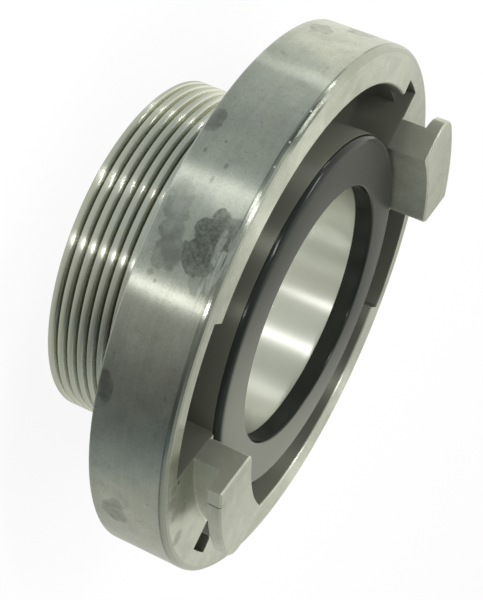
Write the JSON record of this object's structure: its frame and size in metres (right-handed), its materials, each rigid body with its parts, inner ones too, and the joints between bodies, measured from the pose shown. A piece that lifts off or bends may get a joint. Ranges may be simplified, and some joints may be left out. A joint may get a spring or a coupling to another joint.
{
  "type": "fire hose coupling",
  "caption": "Fixed half of a quarter turn fire hose coupling: a flanged steel ring with hooked lugs, a rubber sealing ring and a male pipe thread nipple.",
  "frame": {"origin": "on the coupling's axis, in the plane of the nipple's end face", "axes": "+Z along the axis, out of the claw face with the lugs; the lugs' leading ends lie at about 47 and 227 degrees from +X towards +Y"},
  "size_m": [0.118, 0.118, 0.0496],
  "materials": {
    "steel": "turned satin",
    "rubber": "smooth"
  },
  "bodies": {
    "root": {"coupling_body": "steel", "sealing_ring": "rubber"}
  },
  "joints": []
}
